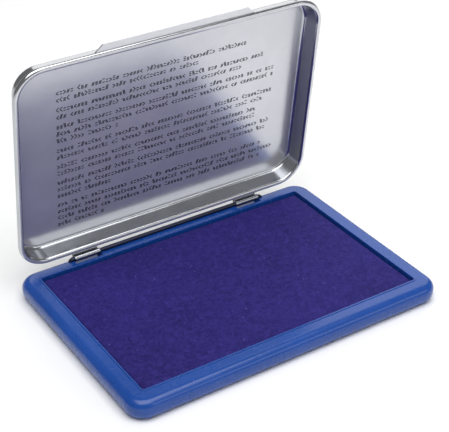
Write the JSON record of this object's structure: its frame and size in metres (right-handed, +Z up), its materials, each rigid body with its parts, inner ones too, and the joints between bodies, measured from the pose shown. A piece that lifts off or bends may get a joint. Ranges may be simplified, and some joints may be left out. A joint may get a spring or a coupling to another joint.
{
  "type": "ink pad",
  "caption": "Office ink pad: cloth-covered felt pad in a moulded tray, under a hinged drawn-tinplate lid that stands open.",
  "frame": {"origin": "centre of the tray's flat underside, where two floor webs cross, on the table", "axes": "+X along the hinge to the user's right, +Y from the user's side to the hinge, +Z up"},
  "size_m": [0.12, 0.0866, 0.0898],
  "materials": {
    "blue_plastic": "moulded, glossy",
    "backing_board": "grey board, ink-stained at the edges",
    "inked_felt": "pressed felt soaked in ink",
    "inked_cloth": "fine woven cloth, ink-damp",
    "hinge_wire_steel": "drawn wire",
    "tinplate": "satin lacquered tinplate",
    "strap_steel": "bright tinned steel"
  },
  "bodies": {
    "tray": {"base_tray": "blue_plastic", "pad_backing_board": "backing_board", "felt_core": "inked_felt", "pad_cloth_cover": "inked_cloth", "hinge_wire": "hinge_wire_steel"},
    "lid": {"lid_shell": "tinplate", "lid_hinge_strap_left": "strap_steel", "lid_hinge_strap_right": "strap_steel"}
  },
  "joints": [
    {"name": "lid_hinge", "type": "hinge", "parent": "tray", "child": "lid", "pos_m": [0, 0.03905, 0.00775], "axis": [1, 0, 0], "range_deg": [-97.1, 82.9]}
  ]
}
